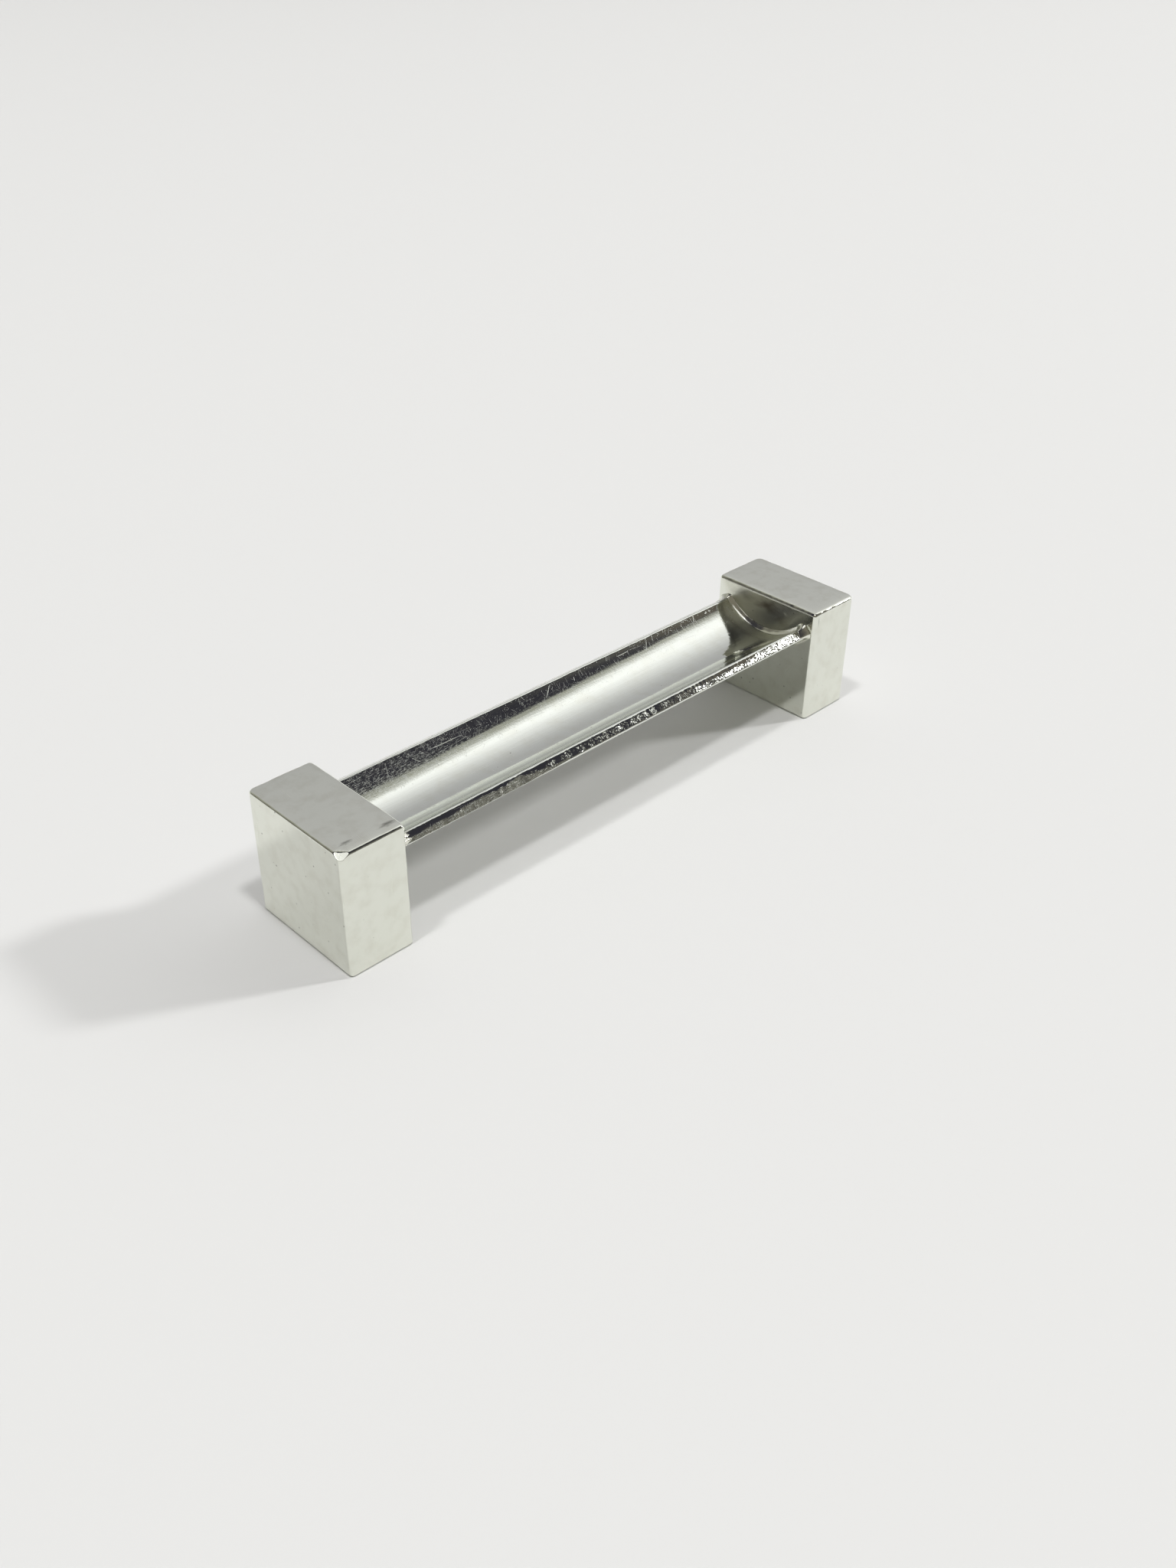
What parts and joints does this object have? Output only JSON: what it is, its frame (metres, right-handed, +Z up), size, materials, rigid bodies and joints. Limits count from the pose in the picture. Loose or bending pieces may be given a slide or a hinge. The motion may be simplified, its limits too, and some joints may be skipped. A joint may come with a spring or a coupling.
{
  "type": "knife rest",
  "caption": "Polished silver-plated knife rest: a shallow concave trough soldered between upright rectangular end blocks, to hold a knife blade off the table.",
  "frame": {"origin": "on the table under the middle of the trough", "axes": "+X along the trough, +Z up, +Y across the trough"},
  "size_m": [0.08, 0.0158, 0.0151],
  "materials": {
    "silver_plate": "silver electroplate over brass, buffed, with fine wear scratches and a slight warm tarnish",
    "silver_solder": "hard solder under the plating, buffed less than the flat faces"
  },
  "bodies": {
    "root": {"left_end_block": "silver_plate", "right_end_block": "silver_plate", "trough": "silver_plate", "left_solder_seam": "silver_solder", "right_solder_seam": "silver_solder"}
  },
  "joints": []
}
